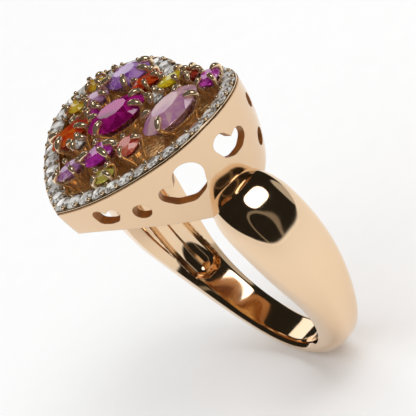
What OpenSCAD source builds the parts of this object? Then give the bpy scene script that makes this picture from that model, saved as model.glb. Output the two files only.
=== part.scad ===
// Cluster cocktail ring: a heart-shaped head with a pierced gallery wall, a halo of small
// brilliants and eighteen individually set coloured stones, on a band with domed shoulders.
// The origin is the centre of the finger bore. Y is the finger axis, with the point of the
// heart towards -Y. Z points from the finger to the head.

/* [Finger] */

// radius of the finger bore
bore_r = 8.65; // [8.4:0.05:8.8]

/* [Heart outline] */

// distance of each lobe centre from the middle
lobe_x = 4; // [3.8:0.05:4.2]
// position of the lobe centres along the finger
lobe_y = 0.63; // [0.4:0.01:0.8]
// radius of the lobes
lobe_r = 5.38; // [5.2:0.02:5.5]
// distance of the heart point from the middle
apex_y = 8.1; // [7.9:0.05:8.3]
// angle below the horizontal at which a lobe runs into its side
side_angle = 41.25; // [38:0.25:44]
// radius that softens the cleft between the lobes
cleft_r = 0.3; // [0.2:0.05:0.4]

/* [Head] */

// height of the rim above the finger axis
rim_z = 11.3; // [11.1:0.05:11.6]
// rise of the rim towards the sides, per square millimetre
rim_rise = 0.007; // [0.005:0.0005:0.009]
// fall of the rim towards the point and the cleft, per square millimetre
rim_drop = 0.0065; // [0.005:0.0005:0.008]
// thickness of the gallery wall
wall_t = 0.7; // [0.6:0.05:0.8]
// extra thickness of the gallery wall towards its foot, per millimetre
wall_grow = 0.12; // [0.1:0.01:0.14]
// depth of the gallery wall below the rim
wall_depth = 7.6; // [7.2:0.1:8]
// straight part of the inward taper of the wall
taper = 0.04; // [0.03:0.005:0.05]
// growing part of the inward taper of the wall
taper_curve = 0.041; // [0.035:0.001:0.045]
// width of the halo band
band_w = 1.4; // [1.35:0.05:1.5]
// depth of the halo band at its edges
band_h = 0.5; // [0.45:0.05:0.55]

/* [Tray] */

// height of the underside of the tray
tray_z = 9.75; // [9.5:0.05:9.9]
// thickness of the tray
tray_t = 0.35; // [0.3:0.05:0.4]

/* [Halo] */

// stones on each side of the heart, not counting the one at the point
halo_count = 19; // [18:1:19]
// radius of a halo stone
halo_r = 0.56; // [0.52:0.01:0.56]
// distance of the halo stones from the outer edge
halo_in = 0.7; // [0.68:0.01:0.72]
// height of the halo stones above the rim
halo_up = 0.08; // [0.06:0.01:0.12]

/* [Band] */

// thickness at the bottom of the band
base_t = 1.05; // [0.95:0.05:1.2]
// half width of the bore face at the bottom
base_w = 1.08; // [1:0.02:1.2]
// angle from the bottom at which the arms end in their domes
arm_end = 135.5; // [134:0.5:136]
// distance from the finger axis to the middle of the inside scoop
scoop_major = 8.55; // [8.5:0.05:8.6]
// radius of the inside scoop
scoop_minor = 1.05; // [0.9:0.05:1.1]
// angle from the bottom at which the scoop starts
scoop_from = 66; // [65:1:70]
// angle from the bottom at which the scoop ends
scoop_to = 112; // [105:1:114]

/* [Stone settings] */

// radius of the claw wires
claw_r = 0.16; // [0.12:0.01:0.18]
// radius of the ball at the tip of a claw
tip_r = 0.22; // [0.18:0.01:0.24]
// size of a collet compared with its stone
collet_k = 0.62; // [0.58:0.01:0.66]
// size of the opening of a collet compared with its stone
open_k = 0.44; // [0.4:0.01:0.5]

/* [Hidden] */

$fn = 48;

gold = [0.93, 0.68, 0.5];
clear = [0.92, 0.95, 1];

// Each stone: middle, half length and half width, turn, height above the rim, point.
ruby = [[-1, -0.3], [2.35, 1.6], 52, 0.95, 1.3];
amethyst = [[-4.3, 3.15], [2, 1.35], 22, 0.85, 1];
garnet = [[-1.45, 2.95], [1.2, 0.85], 60, 0.9, 1];
kunzite = [[4.6, 0.95], [2.3, 1.65], 76, 0.75, 1];
rhodolite = [[5.3, 4.2], [0.85, 0.85], 0, 0.75, 1];
citrine = [[1.2, 3.6], [1.25, 0.7], 50, 0.85, 1];
almandine = [[2.9, 4.3], [0.65, 0.65], 0, 0.8, 1];
white_top = [[1.5, 1.8], [0.6, 0.6], 0, 0.9, 1];
white_low = [[-2.4, -3.2], [0.6, 0.6], 0, 0.9, 1];
fire_opal = [[-4.3, -2.7], [1.6, 1.15], 70, 0.8, 1];
morganite = [[-5.05, 0.6], [1, 0.8], 40, 0.9, 1];
magenta = [[-3.9, -0.5], [0.6, 0.6], 0, 0.9, 1];
yellow_top = [[-7, 1.85], [0.7, 0.7], 0, 0.65, 1];
yellow_low = [[-6.7, -0.3], [0.75, 0.75], 0, 0.65, 1];
spinel = [[1.1, -3.5], [1.3, 1.1], 60, 0.85, 1];
coral = [[3.45, -2.45], [0.95, 0.95], 0, 0.75, 1];
lilac = [[-1.1, -5.1], [1.15, 0.85], 70, 0.7, 1];
olive = [[2.9, -4.8], [0.8, 0.8], 0, 0.35, 1];

// Heart outline. Each half is a side arc, a lobe arc and a small arc in the cleft; a
// distance "o" moves the whole outline inwards.
side_d = [-lobe_x, -apex_y - lobe_y];
side_u = [cos(side_angle), -sin(side_angle)];
side_k = (lobe_r * lobe_r - side_d * side_d) / (2 * (side_d * side_u) - 2 * lobe_r);
side_c = [lobe_x, lobe_y] - side_k * side_u;
side_r = lobe_r + side_k;
cleft_a = acos(-lobe_x / (lobe_r + cleft_r));
cleft_c = [0, lobe_y + (lobe_r + cleft_r) * sin(cleft_a)];
side_n = 8;
lobe_n = 16;
cleft_n = 3;

function apex_a(o) = -acos(-side_c.x / (side_r - o));
function polar(c, r, a) = [c.x + r * cos(a), c.y + r * sin(a)];
function half_heart(o) = concat(
    [for (i = [0:side_n - 1])
        polar(side_c, side_r - o, apex_a(o) + (-side_angle - apex_a(o)) * i / side_n)],
    [for (i = [0:lobe_n - 1])
        polar([lobe_x, lobe_y], lobe_r - o, -side_angle + (cleft_a + side_angle) * i / lobe_n)],
    [for (i = [0:cleft_n])
        polar(cleft_c, cleft_r + o, cleft_a - 180 - (cleft_a - 90) * i / cleft_n)]);
function heart(o) = let (h = half_heart(o), n = len(h))
    concat(h, [for (i = [n - 2:-1:1]) [-h[i].x, h[i].y]]);
heart_n = len(heart(0));

function rim(p) = rim_z + rim_rise * p.x * p.x - rim_drop * p.y * p.y;
function inset(d) = d <= 0 ? 0 : taper * d + taper_curve * d * d;
function level(o, d) = [for (p = heart(o)) [p.x, p.y, rim(p) - d]];

// A point part-way along one half of the halo, measured as a share of its length.
function halo_point(k, o) = let (
    a = apex_a(o), l1 = (side_r - o) * (-side_angle - a), l2 = (lobe_r - o) * (cleft_a + side_angle),
    l3 = (cleft_r + o) * (cleft_a - 90), s = k * (l1 + l2 + l3))
    s < l1 ? polar(side_c, side_r - o, a + s / (side_r - o))
    : s < l1 + l2 ? polar([lobe_x, lobe_y], lobe_r - o, -side_angle + (s - l1) / (lobe_r - o))
    : polar(cleft_c, cleft_r + o, cleft_a - 180 - (s - l1 - l2) / (cleft_r + o));

// Skins a stack of outlines that all have the same number of points.
module loft(rows, closed = false, flip = false) {
    n = len(rows[0]);
    m = len(rows);
    faces = concat(
        [for (j = [0:m - (closed ? 1 : 2)], i = [0:n - 1])
            [j * n + i, j * n + (i + 1) % n, (j + 1) % m * n + (i + 1) % n]],
        [for (j = [0:m - (closed ? 1 : 2)], i = [0:n - 1])
            [j * n + i, (j + 1) % m * n + (i + 1) % n, (j + 1) % m * n + i]],
        closed ? [] : [[for (i = [n - 1:-1:0]) i], [for (i = [0:n - 1]) (m - 1) * n + i]]);
    // flip turns every face over, for rows that run round the other way
    polyhedron([for (r = rows) each r], flip ? [for (f = faces) [for (i = [len(f) - 1:-1:0]) f[i]]] : faces);
}

// The gallery wall, and the solids that fill its outside and its inside.
outer_depths = [band_h, 1.5, 2.6, 3.8, 5, 6.2, wall_depth];
grow_from = 2.6;
inner_depths = [wall_depth, 5, grow_from, band_h];

module wall_skin()
    loft(concat([for (d = outer_depths) level(inset(d), d)],
        [for (d = inner_depths)
            level(inset(d) + wall_t + wall_grow * max(0, d - grow_from), d)]), true);

module filled(extra, depths, floor_z) {
    last = depths[len(depths) - 1];
    loft(concat([[for (p = level(extra, 0)) [p.x, p.y, rim_z + 2]]],
        [for (d = depths) level(inset(d) + extra, d)],
        [[for (p = level(inset(last) + extra, last)) [p.x, p.y, floor_z]]]));
}

module bore()
    rotate([90, 0, 0]) cylinder(r = bore_r, h = 40, center = true, $fn = 96);

// A cutter that stands square to the gallery wall at a share of the outline and a depth.
module at_wall(k, d) {
    o = inset(d);
    p = halo_point(k, o);
    q = halo_point(k + 0.002, o);
    turn = atan2(q.y - p.y, q.x - p.x);
    for (side = [0, 1])
        mirror([side, 0, 0]) translate([p.x, p.y, rim(p) - d])
            rotate([0, 0, turn]) rotate([90, 0, 0]) children();
}

// Two rounds and the straight sides between them. Each round is [x, y, radius].
module link(p, q) {
    along = atan2(q.y - p.y, q.x - p.x);
    lean = acos((p.z - q.z) / norm([q.x - p.x, q.y - p.y]));
    sunk = 0.97;
    for (r = [p, q]) translate([r.x, r.y]) circle(r = r.z, $fn = 24);
    polygon([for (c = [[p, 1], [q, 1], [q, -1], [p, -1]])
        [c[0].x, c[0].y] + sunk * c[0].z * [cos(along + c[1] * lean), sin(along + c[1] * lean)]]);
}

// A plump heart: two lobes that each run into the same round foot.
module heart_cut(lobes, foot)
    linear_extrude(2.6, center = true) {
        link(lobes[0], foot);
        link(lobes[1], foot);
    }

module round_cut(r)
    cylinder(r = r, h = 2.6, center = true, $fn = 24);

module gallery() color(gold) difference() {
    wall_skin();
    bore();
    at_wall(0.14, 1.42) heart_cut([[-0.5, 0.16, 0.46], [0.58, -0.08, 0.42]], [-0.1, -0.42, 0.42]);
    at_wall(0.235, 2.4) round_cut(0.64);
    at_wall(0.367, 2.35) heart_cut([[-1, -0.12, 0.66], [0.9, 0.42, 1.02]], [0.12, -0.7, 0.86]);
    at_wall(0.545, 2.3) heart_cut([[-0.68, 0.5, 0.65], [0.72, -0.15, 0.6]], [-0.12, -0.38, 0.6]);
    at_wall(0.7, 1.68) round_cut(0.5);
    at_wall(0.665, 4.1) round_cut(0.58);
}

// The tray closes the head below the stones, with an opening under each one.
module tray() color(gold) difference() {
    intersection() {
        translate([0, 0, tray_z]) cylinder(r = 12, h = tray_t);
        filled(wall_t, [band_h, grow_from], 5);
    }
    for (s = [ruby, amethyst, garnet, kunzite, rhodolite, citrine, fire_opal, morganite,
            spinel, coral, lilac, olive])
        translate([s[0].x, s[0].y, tray_z - 1])
            cylinder(r = s[1].y * open_k * 0.8, h = 2 + tray_t, $fn = 24);
}

// The halo band: a thin outer lip with a fine groove below it, and a seat for the stones.
module halo_rail() color(gold) {
    lip = 0.1;
    seat = 0.36;
    section = [[0, lip / 4], [lip / 2, lip], [0.13, lip], [0.15, -lip / 5], [band_w / 2, -seat],
        [band_w - 0.15, -lip / 5], [band_w - 0.13, lip], [band_w, lip], [band_w, -band_h],
        [inset(band_h), -band_h], [inset(band_h), -seat], [lip, -seat + 0.05], [lip, -0.2], [0, -0.16]];
    loft([for (i = [len(section) - 1:-1:0]) level(section[i][0], -section[i][1])], true);
}

module brilliant(r, crown, pavilion) {
    n = 8;
    rows = [for (v = [[0.58, crown], [1, 0.02], [1, -0.03], [0.12, -pavilion]])
        [for (i = [0:n - 1]) [r * v[0] * cos(i * 360 / n), r * v[0] * sin(i * 360 / n), v[1]]]];
    loft(rows);
}

halo_steps = halo_count + 1;

module halo_diamonds() color(clear)
    for (i = [0:halo_steps], side = [0, 1])
        if (side == 0 || (i > 0 && i < halo_steps)) {
            p = halo_point(i / halo_steps, halo_in);
            mirror([side, 0, 0]) translate([p.x, p.y, rim(p) + halo_up]) brilliant(halo_r, 0.17, 0.34);
        }

module halo_claws() color(gold)
    for (i = [0:halo_steps - 1], side = [0, 1], o = [0.26, band_w - 0.26]) {
        p = halo_point((i + 0.5) / halo_steps, o);
        mirror([side, 0, 0]) translate([p.x, p.y, rim(p)]) {
            translate([0, 0, -0.12]) cylinder(r = 0.09, h = 0.26, $fn = 24);
            translate([0, 0, 0.15]) sphere(r = 0.13, $fn = 24);
        }
    }

// The band is swept round the finger from one dome to the other.
function swell(a) = (1 - cos(a)) / 2;
function soft(x) = let (c = max(0, min(1, x))) c * c * (3 - 2 * c);
function dome(a, from) = let (s = max(0, (a - from) / (arm_end - from)))
    pow(1 - s * s, 1 / 2.9);
function lobed(v) = sign(v) * pow(abs(v), 2 / 2.9);
function band_row(phi) = let (
    a = abs(phi), u = swell(a), kt = dome(a, 110),
    f = (1 - 0.43 * soft((a - 80.2) / (arm_end - 80.2))) * dome(a, 114),
    w = (base_w - 0.76 * u + 4.5 * u * u) * f,
    flare = (0.16 + 0.73 * u + 0.43 * u * u) * f,
    t = (base_t + 6.4 * u - 5.2 * u * u + 1.3 * u * u * u) * kt,
    n = 12,
    section = concat([[w - 2 * flare, bore_r - 0.5 * kt]],
        [for (i = [0:n]) [(w + flare) * lobed(cos(180 * i / n)),
            bore_r + 0.25 * kt + (t - 0.25 * kt) * lobed(sin(180 * i / n))]],
        [[2 * flare - w, bore_r - 0.5 * kt]]))
    [for (q = section) [q[1] * sin(phi), q[0], -q[1] * cos(phi)]];

arm_steps = 18;
dome_steps = 7;
arm_angles = concat([for (i = [0:arm_steps - 1]) 110 * i / arm_steps],
    [for (i = [0:dome_steps]) 110 + (arm_end - 110) * sin(78 * i / dome_steps)]);

module shank() color(gold) difference() {
    loft(concat([for (i = [len(arm_angles) - 1:-1:1]) band_row(arm_angles[i])],
        [for (a = arm_angles) band_row(-a)]), flip = true);
    bore();
    for (side = [0, 1]) mirror([side, 0, 0]) scoop();
    filled(0, [for (d = outer_depths) if (d > 3) d], -1);
}

module scoop() {
    rotate([90, 0, 0]) rotate([0, 0, scoop_from - 90])
        rotate_extrude(angle = scoop_to - scoop_from, $fn = 96)
            translate([scoop_major, 0]) circle(scoop_minor, $fn = 32);
    for (a = [scoop_from, scoop_to])
        translate([scoop_major * sin(a), 0, -scoop_major * cos(a)]) sphere(scoop_minor + 0.03, $fn = 32);
}

// Stones. A stone is cut with a table, star, kite and girdle facets over a full pavilion.
function girdle_z(s) = rim(s[0]) + s[3];
function pavilion_h(s) = 0.8 * s[1].y;
function crown_h(s) = 0.36 * s[1].y;
function outline(s, k, a) = [s[1].x * k * cos(a), s[1].y * k * sign(sin(a)) * pow(abs(sin(a)), s[4])];
function facet_row(s, k, z, n, from) = [for (i = [0:n - 1]) let (p = outline(s, k, from + i * 360 / n))
    [p.x, p.y, z]];

module gem(s) {
    c = crown_h(s);
    points = concat(facet_row(s, 0.56, c, 8, 0), facet_row(s, 0.82, c * 0.6, 8, 22.5),
        facet_row(s, 1, 0.03, 16, 0), facet_row(s, 1, -0.04, 16, 0),
        facet_row(s, 0.3, -pavilion_h(s) * 0.74, 8, 22.5), [[0, 0, -pavilion_h(s)]]);
    faces = concat([[for (i = [0:7]) 7 - i]], [for (i = [0:7]) each let (j = (i + 1) % 8, g = 16 + 2 * i,
            h = 16 + (2 * i + 2) % 16, b = g + 16, e = h + 16, m = 8 + i, l = 8 + j, v = 48 + i, w = 48 + j) [
        [i, j, m], [j, h, m], [j, l, h], [m, g + 1, g], [m, h, g + 1],
        [g, g + 1, b + 1], [g, b + 1, b], [g + 1, h, e], [g + 1, e, b + 1],
        [b, b + 1, v], [b + 1, e, v], [e, w, v], [v, w, 56]]]);
    place(s) polyhedron(points, faces);
}

module place(s)
    translate([s[0].x, s[0].y, girdle_z(s)]) rotate([0, 0, s[2]]) children();

// A wire between two points.
module wire(p, q, r) {
    d = q - p;
    translate(p) rotate([0, acos(d.z / norm(d)), atan2(d.y, d.x)]) cylinder(r = r, h = norm(d), $fn = 24);
}

// A collet below the stone, with claws that lean out from its foot and close over the girdle.
module setting(s, claws) color(gold) place(s) {
    foot = tray_z + tray_t - girdle_z(s);
    top = -pavilion_h(s) * (1 - open_k) - 0.03;
    translate([0, 0, foot]) linear_extrude(top - foot) difference() {
        polygon([for (i = [0:31]) outline(s, collet_k, i * 360 / 32)]);
        polygon([for (i = [0:31]) outline(s, open_k, i * 360 / 32)]);
    }
    for (a = claws) {
        reach = (claw_r - 0.01) / min(s[1].x, s[1].y);
        low = outline(s, collet_k - 0.08, a);
        out = outline(s, 1 + reach, a);
        wire([low.x, low.y, foot], [out.x, out.y, -0.05], claw_r);
        translate([out.x, out.y, -0.05]) sphere(r = claw_r * 1.12, $fn = 24);
        wire([out.x, out.y, -0.05], [out.x, out.y, 0.28], claw_r);
        translate([out.x, out.y, 0.28]) sphere(r = tip_r, $fn = 24);
    }
}

function even(n, from) = [for (i = [0:n - 1]) from + i * 360 / n];

module setting_ruby() setting(ruby, [35, 145, 235, 325]);
module setting_amethyst() setting(amethyst, [40, 145, 215, 290, 355]);
module setting_garnet() setting(garnet, [45, 135, 270, 320]);
module setting_kunzite() setting(kunzite, [50, 130, 235, 320]);
module setting_rhodolite() setting(rhodolite, [80, 170, 265, 350]);
module setting_citrine() setting(citrine, [60, 130, 290, 350]);
module setting_almandine() setting(almandine, [35, 125, 220, 305]);
module setting_white_top() setting(white_top, even(4, 35));
module setting_white_low() setting(white_low, even(4, 35));
module setting_fire_opal() setting(fire_opal, [50, 135, 230, 315]);
module setting_morganite() setting(morganite, even(4, 65));
module setting_magenta() setting(magenta, even(4, 25));
module setting_yellow_top() setting(yellow_top, even(4, 0));
module setting_yellow_low() setting(yellow_low, [35, 150, 265]);
module setting_spinel() setting(spinel, [85, 165, 290, 340]);
module setting_coral() setting(coral, [45, 150, 205, 300]);
module setting_lilac() setting(lilac, [90, 190, 275, 325]);
module setting_olive() setting(olive, even(4, 0));

module gem_ruby() color([0.75, 0.05, 0.3]) gem(ruby);
module gem_amethyst() color([0.66, 0.5, 0.85]) gem(amethyst);
module gem_garnet() color([0.75, 0.1, 0.12]) gem(garnet);
module gem_kunzite() color([0.93, 0.72, 0.85]) gem(kunzite);
module gem_rhodolite() color([0.72, 0.2, 0.55]) gem(rhodolite);
module gem_citrine() color([0.98, 0.82, 0.25]) gem(citrine);
module gem_almandine() color([0.5, 0.05, 0.1]) gem(almandine);
module gem_white_top() color(clear) gem(white_top);
module gem_white_low() color(clear) gem(white_low);
module gem_fire_opal() color([0.93, 0.35, 0.15]) gem(fire_opal);
module gem_morganite() color([0.85, 0.65, 0.8]) gem(morganite);
module gem_magenta() color([0.85, 0.15, 0.5]) gem(magenta);
module gem_yellow_top() color([0.97, 0.85, 0.35]) gem(yellow_top);
module gem_yellow_low() color([0.97, 0.85, 0.35]) gem(yellow_low);
module gem_spinel() color([0.75, 0.25, 0.6]) gem(spinel);
module gem_coral() color([0.92, 0.35, 0.35]) gem(coral);
module gem_lilac() color([0.88, 0.75, 0.9]) gem(lilac);
module gem_olive() color([0.75, 0.75, 0.3]) gem(olive);

shank();
gallery();
tray();
halo_rail();
halo_diamonds();
halo_claws();
setting_ruby();
gem_ruby();
setting_amethyst();
gem_amethyst();
setting_garnet();
gem_garnet();
setting_kunzite();
gem_kunzite();
setting_rhodolite();
gem_rhodolite();
setting_citrine();
gem_citrine();
setting_almandine();
gem_almandine();
setting_white_top();
gem_white_top();
setting_white_low();
gem_white_low();
setting_fire_opal();
gem_fire_opal();
setting_morganite();
gem_morganite();
setting_magenta();
gem_magenta();
setting_yellow_top();
gem_yellow_top();
setting_yellow_low();
gem_yellow_low();
setting_spinel();
gem_spinel();
setting_coral();
gem_coral();
setting_lilac();
gem_lilac();
setting_olive();
gem_olive();
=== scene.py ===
import math
import bpy
import bmesh
from mathutils import Matrix, Vector, geometry


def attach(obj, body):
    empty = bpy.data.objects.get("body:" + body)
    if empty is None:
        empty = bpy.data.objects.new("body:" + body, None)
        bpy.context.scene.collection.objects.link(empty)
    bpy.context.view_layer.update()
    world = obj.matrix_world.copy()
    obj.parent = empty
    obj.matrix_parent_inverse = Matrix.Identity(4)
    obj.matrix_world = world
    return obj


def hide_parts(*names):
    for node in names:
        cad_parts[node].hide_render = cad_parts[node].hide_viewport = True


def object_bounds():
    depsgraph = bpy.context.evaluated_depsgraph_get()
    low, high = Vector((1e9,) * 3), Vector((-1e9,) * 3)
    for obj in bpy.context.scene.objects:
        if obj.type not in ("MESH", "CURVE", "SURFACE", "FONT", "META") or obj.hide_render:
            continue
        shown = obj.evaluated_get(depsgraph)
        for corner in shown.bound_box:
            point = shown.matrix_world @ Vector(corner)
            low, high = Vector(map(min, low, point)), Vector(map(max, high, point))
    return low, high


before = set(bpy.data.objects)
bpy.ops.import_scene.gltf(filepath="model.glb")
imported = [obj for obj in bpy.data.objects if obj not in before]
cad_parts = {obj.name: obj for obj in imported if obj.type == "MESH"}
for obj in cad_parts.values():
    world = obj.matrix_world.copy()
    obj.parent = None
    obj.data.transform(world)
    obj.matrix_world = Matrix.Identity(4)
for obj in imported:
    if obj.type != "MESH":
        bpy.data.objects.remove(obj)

CAD_BOX = [[float(v) for v in corner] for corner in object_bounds()]
MM = 0.001

# ---------------------------------------------------------------- sizes, as in part.scad (mm)
BORE_R = 8.65
LOBE = (4.0, 0.63)
LOBE_R = 5.38
APEX_Y = 8.1
SIDE_A = math.radians(41.25)
CLEFT_R = 0.3
RIM_Z, RIM_RISE, RIM_DROP = 11.3, 0.007, 0.0065
WALL_T, WALL_DEPTH = 0.7, 7.6
WALL_GROW, GROW_FROM = 0.12, 2.6
LIP_IN, LIP_DEPTH = 0.1, 0.16
BAND_W, BAND_H = 1.4, 0.5
DECK_DEPTH, DECK_T = 0.56, 0.3
HALO_STEPS = 20
HALO_R, HALO_IN, HALO_UP = 0.6, 0.69, 0.06
ARM_END = 135.5
SCOOP_MAJOR, SCOOP_DEEP, SCOOP_HALF, SCOOP_FROM, SCOOP_TO = 8.55, 1.05, 1.25, 66.0, 112.0

# name: middle, half sizes, turn, height above the rim, point, claw angles
STONES = {
    "ruby": ((-1, -0.3), (2.35, 1.6), 52, 0.95, 1.3, (35, 145, 235, 325)),
    "amethyst": ((-4.3, 3.15), (2, 1.35), 22, 0.85, 1, (40, 145, 215, 290, 355)),
    "garnet": ((-1.45, 2.95), (1.2, 0.85), 60, 0.9, 1, (45, 135, 270, 320)),
    "kunzite": ((4.6, 0.95), (2.3, 1.65), 76, 0.75, 1, (50, 130, 235, 320)),
    "rhodolite": ((5.3, 4.2), (0.85, 0.85), 0, 0.75, 1, (80, 170, 265, 350)),
    "citrine": ((1.2, 3.6), (1.25, 0.7), 50, 0.85, 1, (60, 130, 290, 350)),
    "almandine": ((2.9, 4.3), (0.65, 0.65), 0, 0.8, 1, (35, 125, 220, 305)),
    "white_top": ((1.5, 1.8), (0.6, 0.6), 0, 0.9, 1, (35, 125, 215, 305)),
    "white_low": ((-2.4, -3.2), (0.6, 0.6), 0, 0.9, 1, (35, 125, 215, 305)),
    "fire_opal": ((-4.3, -2.7), (1.6, 1.15), 70, 0.8, 1, (50, 135, 230, 315)),
    "morganite": ((-5.05, 0.6), (1, 0.8), 40, 0.9, 1, (65, 155, 245, 335)),
    "magenta": ((-3.9, -0.5), (0.6, 0.6), 0, 0.9, 1, (25, 115, 205, 295)),
    "yellow_top": ((-7, 1.85), (0.7, 0.7), 0, 0.65, 1, (0, 90, 180, 270)),
    "yellow_low": ((-6.7, -0.3), (0.75, 0.75), 0, 0.65, 1, (35, 150, 265)),
    "spinel": ((1.1, -3.5), (1.3, 1.1), 60, 0.85, 1, (85, 165, 290, 340)),
    "coral": ((3.45, -2.45), (0.95, 0.95), 0, 0.75, 1, (45, 150, 205, 300)),
    "lilac": ((-1.1, -5.1), (1.15, 0.85), 70, 0.7, 1, (90, 190, 275, 325)),
    "olive": ((2.9, -4.8), (0.8, 0.8), 0, 0.35, 1, (0, 90, 180, 270)),
}

# ---------------------------------------------------------------- mesh helpers


def new_object(name, verts, faces, smooth_angle=None):
    mesh = bpy.data.meshes.new(name)
    mesh.from_pydata([tuple(c * MM for c in v) for v in verts], [], faces)
    mesh.validate()
    bm = bmesh.new()
    bm.from_mesh(mesh)
    bmesh.ops.recalc_face_normals(bm, faces=bm.faces)
    bm.to_mesh(mesh)
    bm.free()
    obj = bpy.data.objects.new(name, mesh)
    bpy.context.scene.collection.objects.link(obj)
    if smooth_angle is not None:
        smooth(obj, smooth_angle)
    return obj


def smooth(obj, angle):
    obj.data.shade_smooth()
    obj.data.set_sharp_from_angle(angle=math.radians(angle))


def strip(count, rows, closed_rows, first=0):
    faces = []
    for j in range(rows if closed_rows else rows - 1):
        a, b = first + j * count, first + (j + 1) % rows * count
        for i in range(count):
            k = (i + 1) % count
            faces.append((a + i, a + k, b + k, b + i))
    return faces


def cut(obj, cutters, solver="EXACT"):
    for cutter in cutters:
        mod = obj.modifiers.new("cut", "BOOLEAN")
        mod.operation = "DIFFERENCE"
        mod.solver = solver
        mod.object = cutter
    deps = bpy.context.evaluated_depsgraph_get()
    mesh = bpy.data.meshes.new_from_object(obj.evaluated_get(deps))
    obj.modifiers.clear()
    old = obj.data
    obj.data = mesh
    bpy.data.meshes.remove(old)
    for cutter in cutters:
        bpy.data.objects.remove(cutter, do_unlink=True)


class Shell:
    """Collects many small closed forms into one mesh."""

    def __init__(self):
        self.verts, self.faces = [], []

    def rings(self, rings):
        first, n = len(self.verts), len(rings[0])
        for ring in rings:
            self.verts += [tuple(p) for p in ring]
        self.faces += strip(n, len(rings), False, first)
        self.faces.append(tuple(range(first + n - 1, first - 1, -1)))
        self.faces.append(tuple(first + (len(rings) - 1) * n + i for i in range(n)))

    def ball(self, c, r, stretch=(1, 1, 1), n=10):
        rings = []
        for j in range(1, n // 2 + 1):
            t = math.pi * j / (n // 2 + 1)
            rings.append([(c[0] + r * stretch[0] * math.sin(t) * math.cos(2 * math.pi * i / n),
                           c[1] + r * stretch[1] * math.sin(t) * math.sin(2 * math.pi * i / n),
                           c[2] + r * stretch[2] * math.cos(t)) for i in range(n)])
        self.rings(rings)

    def tube(self, path, radii, n=12):
        """A round wire through path with a radius at each point and domed ends."""
        pts = [Vector(p) for p in path]
        side = Vector((0.3, 0.9, 0.1)).normalized()
        rings = []
        for i, p in enumerate(pts):
            d = (pts[min(i + 1, len(pts) - 1)] - pts[max(i - 1, 0)]).normalized()
            side = (side - d * side.dot(d)).normalized()
            up = d.cross(side)
            for s, k in (((-0.8, 0.6), (-0.5, 0.87)) if i == 0 else ()):
                c = p + d * radii[i] * s
                rings.append([c + (side * math.cos(a) + up * math.sin(a)) * radii[i] * k
                              for a in (2 * math.pi * m / n for m in range(n))])
            rings.append([p + (side * math.cos(a) + up * math.sin(a)) * radii[i]
                          for a in (2 * math.pi * m / n for m in range(n))])
            for s, k in (((0.35, 0.94), (0.7, 0.71), (0.93, 0.36)) if i == len(pts) - 1 else ()):
                c = p + d * radii[i] * s
                rings.append([c + (side * math.cos(a) + up * math.sin(a)) * radii[i] * k
                              for a in (2 * math.pi * m / n for m in range(n))])
        self.rings(rings)

    def build(self, name, smooth_angle=None):
        return new_object(name, self.verts, self.faces, smooth_angle)


# ---------------------------------------------------------------- heart outline
SIDE_U = (math.cos(SIDE_A), -math.sin(SIDE_A))
_d = (-LOBE[0], -APEX_Y - LOBE[1])
SIDE_K = (LOBE_R ** 2 - _d[0] ** 2 - _d[1] ** 2) / (2 * (_d[0] * SIDE_U[0] + _d[1] * SIDE_U[1]) - 2 * LOBE_R)
SIDE_C = (LOBE[0] - SIDE_K * SIDE_U[0], LOBE[1] - SIDE_K * SIDE_U[1])
SIDE_R = LOBE_R + SIDE_K
CLEFT_A = math.acos(-LOBE[0] / (LOBE_R + CLEFT_R))
CLEFT_C = (0.0, LOBE[1] + (LOBE_R + CLEFT_R) * math.sin(CLEFT_A))


def polar(c, r, a):
    return (c[0] + r * math.cos(a), c[1] + r * math.sin(a))


def apex_angle(o):
    return -math.acos(-SIDE_C[0] / (SIDE_R - o))


def half_point(k, o):
    """A point part-way along the right half, from the point of the heart to the cleft."""
    a = apex_angle(o)
    l1 = (SIDE_R - o) * (-SIDE_A - a)
    l2 = (LOBE_R - o) * (CLEFT_A + SIDE_A)
    l3 = (CLEFT_R + o) * (CLEFT_A - math.pi / 2)
    s = k * (l1 + l2 + l3)
    if s < l1:
        return polar(SIDE_C, SIDE_R - o, a + s / (SIDE_R - o))
    if s < l1 + l2:
        return polar(LOBE, LOBE_R - o, -SIDE_A + (s - l1) / (LOBE_R - o))
    return polar(CLEFT_C, CLEFT_R + o, CLEFT_A - math.pi - (s - l1 - l2) / (CLEFT_R + o))


def heart(o, parts=(50, 100, 10)):
    half = [polar(SIDE_C, SIDE_R - o, apex_angle(o) + (-SIDE_A - apex_angle(o)) * i / parts[0])
            for i in range(parts[0])]
    half += [polar(LOBE, LOBE_R - o, -SIDE_A + (CLEFT_A + SIDE_A) * i / parts[1]) for i in range(parts[1])]
    half += [polar(CLEFT_C, CLEFT_R + o, CLEFT_A - math.pi - (CLEFT_A - math.pi / 2) * i / parts[2])
             for i in range(parts[2] + 1)]
    return half + [(-x, y) for x, y in half[-2:0:-1]]


def rim(x, y):
    return RIM_Z + RIM_RISE * x * x - RIM_DROP * y * y


def inset(d):
    return 0.04 * d + 0.041 * d * d if d > 0 else 0.0


def level(o, d):
    return [(x, y, rim(x, y) - d) for x, y in heart(o)]


# ---------------------------------------------------------------- gallery wall
def loft_loops(name, loops, closed, smooth_angle=None):
    n = len(loops[0])
    verts = [p for loop in loops for p in loop]
    faces = strip(n, len(loops), closed)
    if not closed:
        faces.append(tuple(range(n - 1, -1, -1)))
        faces.append(tuple((len(loops) - 1) * n + i for i in range(n)))
    return new_object(name, verts, faces, smooth_angle)


def wall_frame(k, d):
    o = inset(d)
    p, q = half_point(k, o), half_point(k + 0.002, o)
    t = Vector((q[0] - p[0], q[1] - p[1], 0)).normalized()
    return Vector((p[0], p[1], rim(*p) - d)), t, Vector((0, 0, 1)), Vector((t.y, -t.x, 0))


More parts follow.
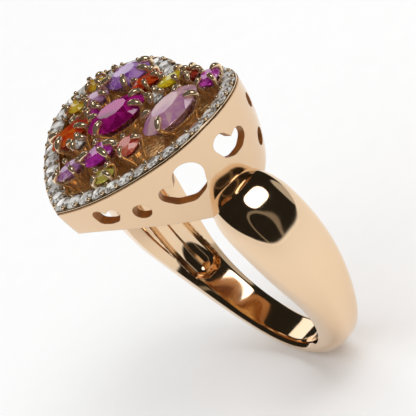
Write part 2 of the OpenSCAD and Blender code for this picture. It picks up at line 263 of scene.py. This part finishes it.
def hull_shape(*rounds, n=48):
    """The outline stretched round several rounds, each (x, y, radius)."""
    pts = [Vector((x + r * math.cos(2 * math.pi * i / n), y + r * math.sin(2 * math.pi * i / n)))
           for x, y, r in rounds for i in range(n)]
    return [tuple(pts[i]) for i in geometry.convex_hull_2d(pts)]


def round_shape(r, n=40):
    return [(r * math.cos(2 * math.pi * i / n), r * math.sin(2 * math.pi * i / n)) for i in range(n)]


def window_cutter(name, k, d, shape, side):
    p, t, up, out = wall_frame(k, d)
    loops = []
    for s in (-1.3, 1.3):
        loop = []
        for x, y in shape:
            q = p + t * x + up * y + out * s
            loop.append((q.x * side, q.y, q.z))
        loops.append(loop)
    return loft_loops(name, loops, False)


WINDOWS = (
    (0.14, 1.42, hull_shape((-0.5, 0.14, 0.46), (-0.5, -0.25, 0.42), (-0.1, -0.4, 0.42))),
    (0.14, 1.42, hull_shape((0.58, -0.08, 0.43), (0.3, -0.36, 0.46), (-0.1, -0.4, 0.42))),
    (0.235, 2.4, round_shape(0.64)),
    (0.367, 2.35, hull_shape((-1, -0.1, 0.66), (-0.6, -0.62, 0.68), (0.1, -0.76, 0.78))),
    (0.367, 2.35, hull_shape((0.92, 0.46, 1.02), (0.55, -0.3, 1.05), (0.1, -0.76, 0.78))),
    (0.545, 2.3, hull_shape((-0.68, 0.5, 0.65), (-0.5, -0.2, 0.55), (-0.12, -0.38, 0.58))),
    (0.545, 2.3, hull_shape((0.72, -0.15, 0.6), (0.4, -0.38, 0.58), (-0.12, -0.38, 0.58))),
    (0.7, 1.68, round_shape(0.5)),
    (0.665, 4.1, round_shape(0.58)),
)


def bore_cutter(r=BORE_R, n=360):
    loops = [[(r * math.sin(2 * math.pi * i / n), y, r * math.cos(2 * math.pi * i / n)) for i in range(n)]
             for y in (-12, 12)]
    return loft_loops("bore_cutter", loops, False)


def make_gallery():
    depths = [BAND_H + (WALL_DEPTH - BAND_H) * i / 26 for i in range(27)]
    loops = [level(LIP_IN, LIP_DEPTH + 0.02), level(0.0, LIP_DEPTH + 0.03)]
    loops += [level(inset(d), d) for d in depths]
    loops += [level(inset(d) + WALL_T + WALL_GROW * max(0, d - GROW_FROM), d) for d in reversed(depths)]
    loops += [level(LIP_IN, BAND_H)]
    wall = loft_loops("gallery_wall", loops, True)
    for mat in (GOLD_WALL_SHADED, GOLD_CAST_SHADED):
        wall.data.materials.append(mat)
    # the inside and bottom faces of the wall take the darker cast gold, painted shade
    inner = len(loops[0]) * (len(depths) + 1)
    for poly in wall.data.polygons:
        poly.material_index = 1 if poly.index >= inner else 0
    cutters = [bore_cutter()]
    for i, (k, d, shape) in enumerate(WINDOWS):
        for side in (1, -1):
            cutters.append(window_cutter("window_%d_%d" % (i, side + 1), k, d, shape, side))
    # the cut faces of the bore and windows take the darker cast gold, painted shade
    for cutter in cutters:
        for mat in (GOLD_WALL_SHADED, GOLD_CAST_SHADED):
            cutter.data.materials.append(mat)
        for poly in cutter.data.polygons:
            poly.material_index = 1
    cut(wall, cutters)
    smooth(wall, 38)
    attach(wall, "root")
    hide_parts("gallery")
    return wall


# ---------------------------------------------------------------- band
def soft(x):
    c = max(0.0, min(1.0, x))
    return c * c * (3 - 2 * c)


def dome(a, start):
    s = max(0.0, min(0.99999, (a - start) / (ARM_END - start)))
    return (1 - s * s) ** (1 / 2.9)


def lobed(v):
    return math.copysign(abs(v) ** (2 / 2.9), v)


def scoop_r(phi, y):
    """Radius of the inside surface: the bore, or the scoop behind each shoulder."""
    a = abs(phi)
    along = SCOOP_MAJOR * math.radians(max(0.0, SCOOP_FROM - a, a - SCOOP_TO))
    inside = 1 - (y / SCOOP_HALF) ** 2 - (along / SCOOP_DEEP) ** 2
    return max(BORE_R, SCOOP_MAJOR + SCOOP_DEEP * math.sqrt(inside)) if inside > 0 else BORE_R


def band_row(phi, n_out=44, n_in=56):
    a = abs(phi)
    u = (1 - math.cos(math.radians(a))) / 2
    kt = dome(a, 110)
    f = (1 - 0.43 * soft((a - 80.2) / (ARM_END - 80.2))) * dome(a, 114)
    w = (1.08 - 0.76 * u + 4.5 * u * u) * f
    flare = (0.16 + 0.73 * u + 0.43 * u * u) * f
    t = (1.05 + 6.4 * u - 5.2 * u * u + 1.3 * u ** 3) * kt
    sec = []
    for i in range(n_out + 1):
        th = math.pi * i / n_out
        sec.append(((w + flare) * lobed(math.cos(th)),
                    BORE_R + 0.25 * kt + (t - 0.25 * kt) * lobed(math.sin(th))))
    for i in range(n_in + 1):
        y = -w + 2 * w * i / n_in
        edge = 0.05 * (abs(y) / max(w, 1e-6)) ** 12
        sec.append((y, scoop_r(phi, y) + edge))
    s, c = math.sin(math.radians(phi)), math.cos(math.radians(phi))
    return [(r * s, y, -r * c) for y, r in sec]


def make_shank():
    arm = [110 * i / 110 for i in range(110)]
    arm += [110 + (ARM_END - 110) * math.sin(math.radians(88 * i / 36)) for i in range(37)]
    loops = [band_row(-a) for a in reversed(arm[1:])] + [band_row(a) for a in arm]
    band = loft_loops("band", loops, False)
    depths = [3.2 + 0.4 * i for i in range(12)]
    mid = 0.35
    env = [[(x, y, RIM_Z + 2) for x, y in heart(mid)]]
    env += [level(inset(d) + mid, d) for d in depths]
    env += [[(x, y, -1.0) for x, y in heart(inset(depths[-1]) + mid)]]
    cut(band, [loft_loops("head_cutter", env, False)])
    smooth(band, 32)
    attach(band, "root")
    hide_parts("shank")
    return band


# ---------------------------------------------------------------- halo
def make_halo_rail():
    section = [(0.02, -0.05), (0.03, 0.02), (0.06, 0.05), (0.1, 0.05), (0.13, 0.0), (0.15, -0.08),
               (0.35, -0.24), (BAND_W / 2, -0.38), (BAND_W - 0.35, -0.2), (BAND_W - 0.17, -0.06),
               (BAND_W - 0.15, 0.0), (BAND_W - 0.135, 0.07), (BAND_W - 0.09, 0.1), (BAND_W - 0.03, 0.09),
               (BAND_W, 0.04), (BAND_W, -BAND_H), (LIP_IN + 0.02, -BAND_H), (LIP_IN + 0.02, -LIP_DEPTH),
               (LIP_IN, -0.12), (0.07, -0.09)]
    loops = [[(x, y, rim(x, y) + z) for x, y in heart(o)] for o, z in section]
    rail = loft_loops("halo_band", loops, True, 40)
    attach(rail, "root")
    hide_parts("halo_rail")
    return rail


def halo_sites(o, half):
    """Places along the halo on both sides, with the direction of travel."""
    out = []
    steps = [i + (0.5 if half else 0.0) for i in range(HALO_STEPS if half else HALO_STEPS + 1)]
    for s in steps:
        k = min(s / HALO_STEPS, 0.9999)
        x, y = half_point(k, o)
        q = half_point(min(k + 0.002, 1.0), o)
        a = math.atan2(q[1] - y, q[0] - x)
        out.append((x, y, a))
        if half or 0 < s < HALO_STEPS:
            out.append((-x, y, math.pi - a))
    return out


def facet_stone(shell, place, outline, crown, pavilion, table=0.56, n=8):
    """A brilliant: table, stars, kites, girdle halves, a thin girdle and a faceted pavilion."""
    first = len(shell.verts)
    step = 2 * math.pi / n

    def ring(k, z, count, start):
        return [place(*outline(k, start + 2 * math.pi * i / count), z) for i in range(count)]

    shell.verts += ring(table, crown, n, 0) + ring(0.8, crown * 0.62, n, step / 2)
    shell.verts += ring(1, 0.03, 2 * n, 0) + ring(1, -0.04, 2 * n, 0)
    shell.verts += ring(0.3, -pavilion * 0.74, n, step / 2) + [place(0, 0, -pavilion)]
    t, m, g, b, v, c = first, first + n, first + 2 * n, first + 4 * n, first + 6 * n, first + 7 * n
    shell.faces.append(tuple(t + i for i in range(n)))
    for i in range(n):
        j = (i + 1) % n
        g0, g1, g2 = g + 2 * i, g + 2 * i + 1, g + (2 * i + 2) % (2 * n)
        b0, b1, b2 = g0 + 2 * n, g1 + 2 * n, g2 + 2 * n
        shell.faces += [(t + i, m + i, t + j), (m + i, g2, t + j), (t + j, g2, m + j),
                        (m + i, g0, g1), (m + i, g1, g2), (g0, b0, b1, g1), (g1, b1, b2, g2),
                        (b0, v + i, b1), (b1, v + i, b2), (b2, v + i, v + j), (v + i, c, v + j)]


def make_halo_stones():
    shell = Shell()
    for x0, y0, a in halo_sites(HALO_IN, False):
        z0 = rim(x0, y0) + HALO_UP
        # the stones follow the dish of the rim
        sx, sy = 2 * RIM_RISE * x0, -2 * RIM_DROP * y0
        ca, sa = math.cos(a), math.sin(a)

        def place(x, y, z):
            px, py = x0 + x * ca - y * sa - z * sx, y0 + x * sa + y * ca - z * sy
            return (px, py, z0 + z + (px - x0) * sx + (py - y0) * sy)

        facet_stone(shell, place, lambda k, t: (HALO_R * k * math.cos(t), HALO_R * k * math.sin(t)),
                    0.17, 0.34, 0.55)
    stones = shell.build("halo_stones")
    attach(stones, "root")
    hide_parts("halo_diamonds")
    return stones


def make_halo_beads():
    shell = Shell()
    for o, sign in ((0.25, -1), (BAND_W - 0.25, 1)):
        for x, y, a in halo_sites(o, True):
            z = rim(x, y)
            n = Vector((math.sin(a), -math.cos(a), 0)) * sign
            x1, y1 = x + n.x * 0.06, y + n.y * 0.06
            shell.tube([(x1, y1, z - 0.1), (x1, y1, z + 0.06), (x, y, z + 0.15)], [0.13, 0.15, 0.15], 10)
    beads = shell.build("halo_beads", 60)
    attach(beads, "root")
    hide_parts("halo_claws")
    return beads


# ---------------------------------------------------------------- deck below the stones


def make_deck():
    """A thin dished deck that follows the rim and fills the inside of the wall."""
    edge = [Vector(p) for p in heart(WALL_T + 0.02, (12, 26, 3))]
    pitch, reach = 0.42, 9.5
    span = int(2 * reach / pitch)
    inside = heart(WALL_T + 0.3, (12, 26, 3))
    field = []
    for i in range(span + 1):
        for j in range(span + 1):
            q = Vector((-reach + pitch * (i + 0.5 * (j % 2)), -reach + pitch * j))
            if within(q, inside):
                field.append(q)
    loop = [(i, (i + 1) % len(edge)) for i in range(len(edge))]
    flat, _, tris, _, _, _ = geometry.delaunay_2d_cdt(edge + field, loop, [], 1, 1e-5)
    n = len(flat)
    top = [(x, y, rim(x, y) - DECK_DEPTH) for x, y in flat]
    faces = [tuple(t) for t in tris] + [tuple(n + i for i in reversed(t)) for t in tris]
    faces += [(a, b, n + b, n + a) for a, b in loop]
    deck = new_object("deck", top + [(x, y, z - DECK_T) for x, y, z in top], faces, 40)
    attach(deck, "root")
    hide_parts("tray")
    return deck


def within(q, outline):
    inside = False
    for i, (x0, y0) in enumerate(outline):
        x1, y1 = outline[i - 1]
        if (y0 > q.y) != (y1 > q.y) and q.x < (x1 - x0) * (q.y - y0) / (y1 - y0) + x0:
            inside = not inside
    return inside


# ---------------------------------------------------------------- cluster
TILT = 0.09

def outline_fn(half, point):
    a, b = half

    def fn(k, t):
        s = math.sin(t)
        return (a * k * math.cos(t), b * k * math.copysign(abs(s) ** point, s))
    return fn


def placer(mid, turn, z0):
    c, s = math.cos(math.radians(turn)), math.sin(math.radians(turn))

    def fn(x, y, z):
        return (mid[0] + x * c - y * s, mid[1] + x * s + y * c, z0 + z)
    return fn


def make_stone(name, spec):
    mid, half, turn, up, point, claws = spec
    flat = placer(mid, turn, rim(*mid) + up)
    seat = list(STONES).index(name)
    tip_x, tip_y = TILT * math.sin(2.4 * seat), TILT * math.cos(1.7 * seat)

    def place(x, y, z):
        return flat(x - z * tip_x, y - z * tip_y, z + x * tip_x + y * tip_y)

    shell = Shell()
    big = half[1] > 1.2
    facet_stone(shell, place, outline_fn(half, point), 0.36 * half[1], 0.8 * half[1],
                0.5 if big else 0.56, 10 if big else 8)
    obj = shell.build("stone_" + name)
    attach(obj, "root")
    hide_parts("gem_" + name)
    return obj


def make_setting(name, spec):
    mid, half, turn, up, point, claws = spec
    z0 = rim(*mid) + up
    place = placer(mid, turn, z0)
    fn = outline_fn(half, point)
    pav = 0.8 * half[1]
    foot = -up - DECK_DEPTH - 0.03
    shell = Shell()
    # collet: a flared ring with a rolled upper edge, resting on the tray
    n = 56
    top = -pav * 0.5
    prof = [(0.46, foot), (0.62, foot), (0.64, foot + 0.12), (0.6, foot + 0.3), (0.62, top - 0.45),
            (0.7, top - 0.2), (0.74, top - 0.1), (0.73, top - 0.02), (0.68, top - 0.03),
            (0.56, top - 0.24), (0.5, top - 0.5)]
    loops = [[place(*fn(k, 2 * math.pi * i / n), z) for i in range(n)] for k, z in prof]
    first = len(shell.verts)
    for loop in loops:
        shell.verts += loop
    shell.faces += strip(n, len(loops), True, first)
    # milgrain along the rolled edge
    root = math.sqrt((3 * half[0] + half[1]) * (half[0] + 3 * half[1]))
    length = math.pi * (3 * (half[0] + half[1]) - root) * 0.74
    count = max(12, int(length / 0.2))
    for i in range(count):
        t = 2 * math.pi * i / count
        shell.ball(place(*fn(0.745, t), top - 0.1), 0.085, n=8)
    # claws: up from the foot, out round the girdle and down on the crown
    size, reach = (0.215, 0.5) if half[1] > 1.0 else (0.17, 0.3)
    crown = 0.36 * half[1]
    for a in claws:
        t = math.radians(a)
        edge = Vector(fn(1, t))
        far = edge.length
        edge.normalize()
        keys = [(-0.44 * far, foot + 0.05), (-0.26 * far, foot * 0.55), (0.05, -0.2), (0.15, 0.08),
                (0.06, 0.27), (-reach * 0.5, crown * reach / (0.9 * far) + 0.27),
                (-reach, crown * reach / (0.44 * far) + 0.12)]
        path = [Vector(place(*(edge * (far + s)), z)) for s, z in keys]
        fine = []
        for i in range(len(path) - 1):
            p0, p1, p2, p3 = path[max(i - 1, 0)], path[i], path[i + 1], path[min(i + 2, len(path) - 1)]
            for s in (0, 0.25, 0.5, 0.75):
                fine.append(0.5 * ((2 * p1) + (p2 - p0) * s + (2 * p0 - 5 * p1 + 4 * p2 - p3) * s * s
                                   + (3 * p1 - p0 - 3 * p2 + p3) * s ** 3))
        fine.append(path[-1])
        m = len(fine) - 1
        radii = [size * (0.85 + 0.3 * soft((i / m - 0.5) / 0.3) - 0.2 * soft((i / m - 0.8) / 0.2))
                 for i in range(m + 1)]
        shell.tube(fine, radii, 14)
    obj = shell.build("collet_" + name, 50)
    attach(obj, "root")
    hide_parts("setting_" + name)
    return obj


# ---------------------------------------------------------------- materials
def material(name):
    mat = bpy.data.materials.new(name)
    mat.use_nodes = True
    nodes, links = mat.node_tree.nodes, mat.node_tree.links
    return mat, nodes, links, nodes["Principled BSDF"]


def gold_material(name, light, dark, rough, rough_var, bevel=0.06, bump=0.02, metallic=1.0, grain=0.0):
    mat, nodes, links, bsdf = material(name)
    coord = nodes.new("ShaderNodeTexCoord")
    tone = nodes.new("ShaderNodeTexNoise")
    tone.inputs["Scale"].default_value = 180
    tone.inputs["Detail"].default_value = 3
    links.new(coord.outputs["Object"], tone.inputs["Vector"])
    ramp = nodes.new("ShaderNodeValToRGB")
    ramp.color_ramp.elements[0].position, ramp.color_ramp.elements[1].position = 0.3, 0.7
    ramp.color_ramp.elements[0].color, ramp.color_ramp.elements[1].color = (*dark, 1), (*light, 1)
    links.new(tone.outputs["Fac"], ramp.inputs["Fac"])
    links.new(ramp.outputs["Color"], bsdf.inputs["Base Color"])
    bsdf.inputs["Metallic"].default_value = metallic
    wear = nodes.new("ShaderNodeTexNoise")
    wear.inputs["Scale"].default_value = 900
    wear.inputs["Detail"].default_value = 5
    links.new(coord.outputs["Object"], wear.inputs["Vector"])
    span = nodes.new("ShaderNodeMapRange")
    span.inputs["To Min"].default_value = rough
    span.inputs["To Max"].default_value = rough + rough_var
    links.new(wear.outputs["Fac"], span.inputs["Value"])
    links.new(span.outputs["Result"], bsdf.inputs["Roughness"])
    soften = nodes.new("ShaderNodeBevel")
    soften.samples = 4
    soften.inputs["Radius"].default_value = bevel * MM
    polish = nodes.new("ShaderNodeBump")
    polish.inputs["Strength"].default_value = bump
    polish.inputs["Distance"].default_value = 0.02 * MM
    links.new(wear.outputs["Fac"], polish.inputs["Height"])
    links.new(soften.outputs["Normal"], polish.inputs["Normal"])
    if grain:
        beads = nodes.new("ShaderNodeTexVoronoi")
        beads.inputs["Scale"].default_value = 2600
        links.new(coord.outputs["Object"], beads.inputs["Vector"])
        rows = nodes.new("ShaderNodeBump")
        rows.invert = True
        rows.inputs["Strength"].default_value = grain
        rows.inputs["Distance"].default_value = 0.12 * MM
        links.new(beads.outputs["Distance"], rows.inputs["Height"])
        links.new(polish.outputs["Normal"], rows.inputs["Normal"])
        links.new(rows.outputs["Normal"], bsdf.inputs["Normal"])
    else:
        links.new(polish.outputs["Normal"], bsdf.inputs["Normal"])
    return mat


def gem_material(name, light, shaded_tone, ior=1.76, clear=0.62, facets=2.6):
    """Each facet takes its own tone, read from the facet's direction: painted light and shade standing in
    for sparkle.
    """
    mat, nodes, links, bsdf = material(name)
    shape = nodes.new("ShaderNodeNewGeometry")
    coord = nodes.new("ShaderNodeTexCoord")
    spread = nodes.new("ShaderNodeVectorMath")
    spread.operation = "SCALE"
    spread.inputs["Scale"].default_value = 170
    links.new(coord.outputs["Object"], spread.inputs[0])
    mixed = nodes.new("ShaderNodeVectorMath")
    mixed.operation = "ADD"
    links.new(shape.outputs["True Normal"], mixed.inputs[0])
    links.new(spread.outputs["Vector"], mixed.inputs[1])
    sparkle_mask = nodes.new("ShaderNodeTexNoise")
    sparkle_mask.inputs["Scale"].default_value = facets
    sparkle_mask.inputs["Detail"].default_value = 1
    links.new(mixed.outputs["Vector"], sparkle_mask.inputs["Vector"])
    ramp = nodes.new("ShaderNodeValToRGB")
    ramp.color_ramp.elements[0].position, ramp.color_ramp.elements[1].position = 0.4, 0.6
    ramp.color_ramp.elements[0].color, ramp.color_ramp.elements[1].color = (*shaded_tone, 1), (*light, 1)
    links.new(sparkle_mask.outputs["Fac"], ramp.inputs["Fac"])
    links.new(ramp.outputs["Color"], bsdf.inputs["Base Color"])
    bsdf.inputs["Roughness"].default_value = 0.0
    bsdf.inputs["IOR"].default_value = ior
    bsdf.inputs["Transmission Weight"].default_value = clear
    return mat


GOLD = gold_material("rose_gold_polished", (0.87, 0.65, 0.435), (0.85, 0.625, 0.41), 0.05, 0.04)
# the wall's gold is a darker copy of the polished gold, painted shade; its higher roughness is its own
GOLD_WALL_SHADED = gold_material("rose_gold_wall_painted_shade", (0.80, 0.58, 0.385), (0.77, 0.555, 0.36), 0.10, 0.06, 0.08)
# the deck's gold is darker and more orange than the polished gold, painted shade under the stones; its noisy
# tone and bead bumps are its own texture
GOLD_DECK_SHADED = gold_material("rose_gold_tray_painted_shade", (0.92, 0.56, 0.20), (0.52, 0.25, 0.07), 0.16, 0.2,
                          bevel=0.03, bump=0.6, metallic=0.8, grain=0.45)
# the claws' and beads' gold is a lighter copy of the polished gold, painted light for their bright tips
GOLD_CLAW_LIT = gold_material("rose_gold_claws_painted_light", (0.95, 0.74, 0.50), (0.86, 0.62, 0.38), 0.08, 0.06,
                          bevel=0.03, bump=0.02, metallic=0.9)
# diamond facets take white or dark grey tones by direction, painted sparkle
DIAMOND = gem_material("diamond", (1.0, 0.98, 0.94), (0.22, 0.18, 0.14), 2.2, 0.3, 5.5)

# each stone's lighter and darker facet tones are painted light and shade on the facets
GEM_COLOURS = {
    "ruby": ((0.80, 0.02, 0.42), (0.28, 0.002, 0.12), "ruby_stone"),
    "amethyst": ((0.80, 0.46, 0.95), (0.36, 0.11, 0.55), "amethyst_stone"),
    "garnet": ((1.00, 0.12, 0.015), (0.50, 0.015, 0.008), "garnet_stone"),
    "kunzite": ((1.00, 0.66, 0.68), (0.66, 0.30, 0.56), "kunzite_stone"),
    "rhodolite": ((0.85, 0.12, 0.68), (0.38, 0.02, 0.30), "rhodolite_stone"),
    "citrine": ((1.00, 0.86, 0.05), (0.96, 0.66, 0.02), "citrine_stone"),
    "almandine": ((0.62, 0.06, 0.03), (0.26, 0.02, 0.01), "almandine_stone"),
    "fire_opal": ((1.00, 0.22, 0.015), (0.74, 0.02, 0.008), "fire_opal_stone"),
    "morganite": ((0.88, 0.52, 0.80), (0.52, 0.20, 0.48), "morganite_stone"),
    "magenta": ((0.90, 0.08, 0.64), (0.45, 0.01, 0.30), "magenta_stone"),
    "yellow_top": ((1.00, 0.78, 0.08), (0.96, 0.52, 0.02), "yellow_sapphire"),
    "yellow_low": ((1.00, 0.78, 0.08), (0.96, 0.52, 0.02), "yellow_sapphire"),
    "spinel": ((0.85, 0.07, 0.68), (0.38, 0.01, 0.30), "spinel_stone"),
    "coral": ((1.00, 0.28, 0.18), (0.62, 0.05, 0.04), "coral_stone"),
    "lilac": ((0.90, 0.56, 0.86), (0.55, 0.22, 0.53), "lilac_stone"),
    "olive": ((0.86, 0.76, 0.16), (0.52, 0.42, 0.06), "olive_stone"),
}


def paint(obj, mat):
    obj.data.materials.clear()
    obj.data.materials.append(mat)


# ---------------------------------------------------------------- build
# rougher cast gold; its dark brown colour is painted shade for the inside of the wall and the cut faces
GOLD_CAST_SHADED = gold_material("rose_gold_cast_and_painted_shade", (0.60, 0.30, 0.11), (0.38, 0.17, 0.055), 0.35, 0.25,
                          bevel=0.02, bump=0.4, metallic=0.7)
make_gallery()
paint(make_deck(), GOLD_DECK_SHADED)
paint(make_shank(), GOLD)
paint(make_halo_rail(), GOLD)
paint(make_halo_stones(), DIAMOND)
paint(make_halo_beads(), GOLD_CLAW_LIT)
for stone_name, stone_spec in STONES.items():
    gem = make_stone(stone_name, stone_spec)
    if stone_name in GEM_COLOURS:
        light, shaded_tone, slot = GEM_COLOURS[stone_name]
        paint(gem, gem_material("gem_" + stone_name, light, shaded_tone))
    else:
        paint(gem, DIAMOND)
    paint(make_setting(stone_name, stone_spec), GOLD_CLAW_LIT)

# ---------------------------------------------------------------- floor, light and camera
floor_z = CAD_BOX[0][2]
size = 0.6
cells = 24
floor = new_object("floor", [((i / cells - 0.5) * size / MM, (j / cells - 0.5) * size / MM, floor_z / MM)
                             for j in range(cells + 1) for i in range(cells + 1)],
                   [(j * (cells + 1) + i, j * (cells + 1) + i + 1, (j + 1) * (cells + 1) + i + 1,
                     (j + 1) * (cells + 1) + i) for j in range(cells) for i in range(cells)])
mat, nodes, links, bsdf = material("white_table")
grain = nodes.new("ShaderNodeTexNoise")
grain.inputs["Scale"].default_value = 300
ramp = nodes.new("ShaderNodeValToRGB")
ramp.color_ramp.elements[0].color = (0.93, 0.93, 0.93, 1)
ramp.color_ramp.elements[1].color = (0.96, 0.96, 0.96, 1)
links.new(grain.outputs["Fac"], ramp.inputs["Fac"])
links.new(ramp.outputs["Color"], bsdf.inputs["Base Color"])
bsdf.inputs["Roughness"].default_value = 0.6
paint(floor, mat)

# the camera looks at this point, from this direction and distance, turned about its line of sight
AIM = Vector((-1.05, 0.6, 2.55)) * MM
AZIMUTH, ELEVATION, ROLL = math.radians(-17.7), math.radians(25.2), math.radians(38.9)
CAMERA_FAR, LENS = 193 * MM, 246
flat = math.cos(ELEVATION)
back = Vector((flat * math.cos(AZIMUTH), flat * math.sin(AZIMUTH), math.sin(ELEVATION)))
level = Vector((0, 0, 1)).cross(back).normalized()
upright = back.cross(level)
right = level * math.cos(ROLL) - upright * math.sin(ROLL)
above = level * math.sin(ROLL) + upright * math.cos(ROLL)
cam = bpy.data.cameras.new("camera")
cam.sensor_width = 36
cam.lens = LENS
cam.clip_start = 0.01
cam.clip_end = 10
camera = bpy.data.objects.new("camera", cam)
bpy.context.scene.collection.objects.link(camera)
facing = Matrix((right, above, back)).transposed().to_4x4()
camera.matrix_world = Matrix.Translation(AIM + back * CAMERA_FAR) @ facing
bpy.context.scene.camera = camera

# reflections show a dark room above a white table, with one card at the side; everything else
# is lit from all round by soft white
world = bpy.data.worlds.new("studio")
bpy.context.scene.world = world
world.use_nodes = True
wn, wl = world.node_tree.nodes, world.node_tree.links
wn.clear()
CARD_SIDE = Vector((0.12, 0.98, 0.06)).normalized()


def world_ramp(source, stops):
    ramp = wn.new("ShaderNodeValToRGB")
    while len(ramp.color_ramp.elements) < len(stops):
        ramp.color_ramp.elements.new(0.5)
    for element, (at, colour) in zip(ramp.color_ramp.elements, stops):
        element.position, element.color = at, (*colour, 1)
    wl.new(source, ramp.inputs["Fac"])
    return ramp.outputs["Color"]


def world_dot(axis):
    dot = wn.new("ShaderNodeVectorMath")
    dot.operation = "DOT_PRODUCT"
    dot.inputs[1].default_value = axis
    wl.new(wcoord.outputs["Generated"], dot.inputs[0])
    return dot.outputs["Value"]


def lightest(a, b):
    both = wn.new("ShaderNodeMix")
    both.data_type, both.blend_type = "RGBA", "LIGHTEN"
    both.inputs["Factor"].default_value = 1.0
    wl.new(a, both.inputs["A"])
    wl.new(b, both.inputs["B"])
    return both.outputs["Result"]


WHITE, ROOM, CARD, BLACK = (1, 1, 1), (0.016, 0.014, 0.01), (0.5, 0.48, 0.45), (0, 0, 0)
RING = (0.24, 0.21, 0.17)
RING_FRONT = Vector((0.91, -0.26, 0.31)).normalized()
wcoord = wn.new("ShaderNodeTexCoord")
height = wn.new("ShaderNodeMath")
height.operation = "MULTIPLY_ADD"
height.inputs[1].default_value = 0.5
height.inputs[2].default_value = 0.5
wl.new(world_dot((0, 0, 1)), height.inputs[0])
room = world_ramp(height.outputs["Value"], ((0.49, WHITE), (0.505, ROOM)))
card = world_ramp(world_dot(CARD_SIDE), ((0.925, BLACK), (0.94, CARD)))
ring = world_ramp(world_dot(RING_FRONT), ((0.845, BLACK), (0.86, RING), (0.885, RING), (0.90, BLACK)))
room = lightest(lightest(room, card), ring)
seen = wn.new("ShaderNodeLightPath")
dim, plain = wn.new("ShaderNodeBackground"), wn.new("ShaderNodeBackground")
wl.new(room, dim.inputs["Color"])
plain.inputs["Color"].default_value = (1, 1, 1, 1)
plain.inputs["Strength"].default_value = 0.92
either = wn.new("ShaderNodeMixShader")
wl.new(seen.outputs["Is Glossy Ray"], either.inputs["Fac"])
wl.new(plain.outputs["Background"], either.inputs[1])
wl.new(dim.outputs["Background"], either.inputs[2])
wl.new(either.outputs["Shader"], wn.new("ShaderNodeOutputWorld").inputs["Surface"])


def area(name, toward, distance, size, radiance):
    light = bpy.data.lights.new(name, "AREA")
    light.shape = "DISK"
    light.size = size
    light.energy = radiance * math.pi * math.pi * (size / 2) ** 2
    obj = bpy.data.objects.new(name, light)
    bpy.context.scene.collection.objects.link(obj)
    obj.location = Vector(toward).normalized() * distance
    obj.rotation_euler = obj.location.to_track_quat("Z", "Y").to_euler()
    return obj


area("lamp", (0.50, 0.28, 0.82), 0.8, 0.42, 3.0)
area("back", (-0.86, 0.275, 0.46), 0.9, 0.36, 1.3)


bpy.context.scene.view_settings.view_transform = "Standard"
